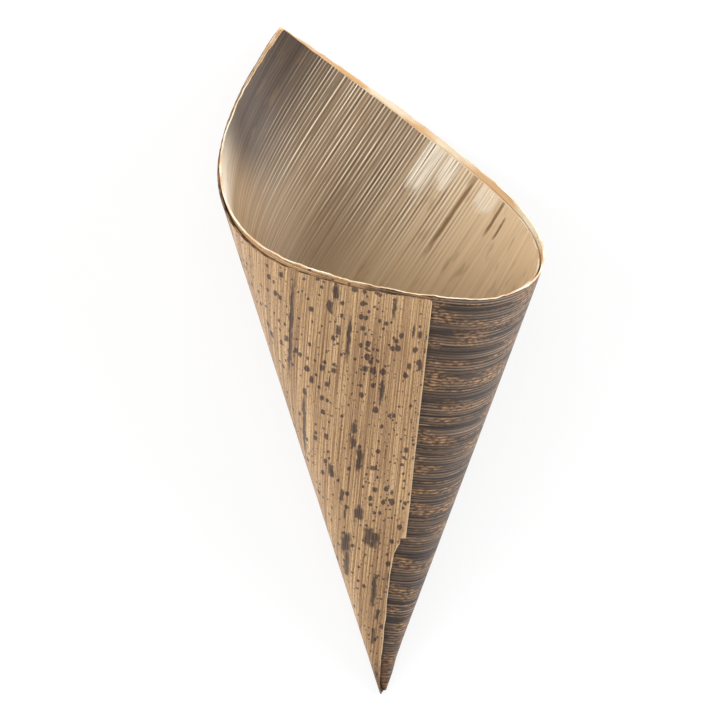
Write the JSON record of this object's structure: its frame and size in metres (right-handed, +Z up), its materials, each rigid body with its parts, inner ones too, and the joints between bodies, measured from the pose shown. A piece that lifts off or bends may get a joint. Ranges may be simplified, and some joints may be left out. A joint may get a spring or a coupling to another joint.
{
  "type": "food cone",
  "caption": "Disposable food cone rolled from one sheet of dry bamboo culm sheath, with a flattened round section and a slanted, doubled rim with one high corner.",
  "frame": {"origin": "middle of the bounding box on the surface that the cone lies on", "axes": "+Z up, +Y level along the line that the cone lies on, from its point towards its mouth, +X across it; the free edge of the flap is on top"},
  "size_m": [0.0836, 0.177, 0.0539],
  "materials": {
    "sheath": "satin"
  },
  "bodies": {
    "root": {"food_cone": "sheath"}
  },
  "joints": []
}
